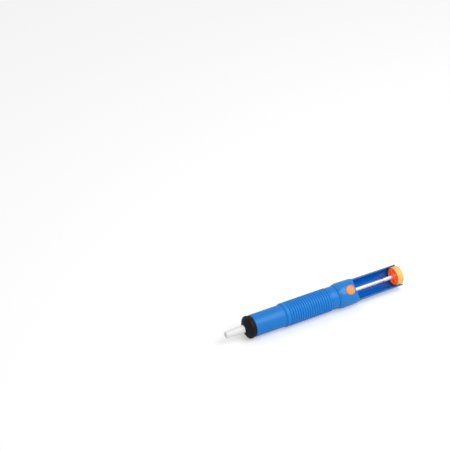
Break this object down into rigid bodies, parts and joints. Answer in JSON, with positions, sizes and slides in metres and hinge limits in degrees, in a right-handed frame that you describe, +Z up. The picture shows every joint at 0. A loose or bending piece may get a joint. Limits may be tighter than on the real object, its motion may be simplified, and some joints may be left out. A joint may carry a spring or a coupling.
{
  "type": "spring-loaded desoldering pump",
  "caption": "Hand-held solder suction pump: tapered nozzle, black cap, ribbed grip, head with a release button, and a sprung plunger in a half-tube guard.",
  "frame": {"origin": "centre of the nozzle's mouth, on the barrel's axis", "axes": "+X along the axis from the nozzle's mouth to the thumb knob; +Z up as the pump lies, with the release button turned 45 degrees from +Z towards -Y"},
  "size_m": [0.1883, 0.0244, 0.0244],
  "materials": {
    "nozzle_white": "satin, waxy",
    "cap_black": "fine matt",
    "barrel_blue": "glossy",
    "grip_blue": "semi-gloss",
    "head_blue": "glossy",
    "seal_rubber": "matt",
    "inner_plastic": "satin",
    "rod_steel": "polished",
    "spring_steel": "drawn wire",
    "small_steel": "plated",
    "knob_orange": "glossy",
    "button_orange": "glossy"
  },
  "bodies": {
    "barrel": {"nozzle": "nozzle_white", "nose_cap": "cap_black", "nose_gasket": "seal_rubber", "front_barrel": "barrel_blue", "rear_barrel": "barrel_blue", "grip_sleeve": "grip_blue", "head_housing": "head_blue", "head_pins": "small_steel", "rod_guide": "inner_plastic", "buffer_ring": "seal_rubber", "spring_seat": "small_steel", "main_spring": "spring_steel", "rod_bush": "cap_black", "button_spring": "spring_steel"},
    "plunger": {"plunger_rod": "rod_steel", "piston": "inner_plastic", "piston_ring": "seal_rubber", "cleaning_pin": "small_steel", "spring_collar": "inner_plastic", "collar_clip": "small_steel", "thumb_knob": "knob_orange", "knob_screw": "small_steel"},
    "button": {"release_button": "button_orange", "latch_plate": "small_steel"}
  },
  "joints": [
    {"name": "plunger_slide", "type": "slide", "parent": "barrel", "child": "plunger", "axis": [-1, 0, 0], "range_m": [0, 0.0395], "stiffness_N_per_m": 400, "springref_m": -0.015, "deforming": ["main_spring"]},
    {"name": "button_press", "type": "slide", "parent": "barrel", "child": "button", "axis": [0, 0.7071, -0.7071], "range_m": [0, 0.0015], "stiffness_N_per_m": 1200, "springref_m": -0.001, "deforming": ["button_spring"]}
  ]
}
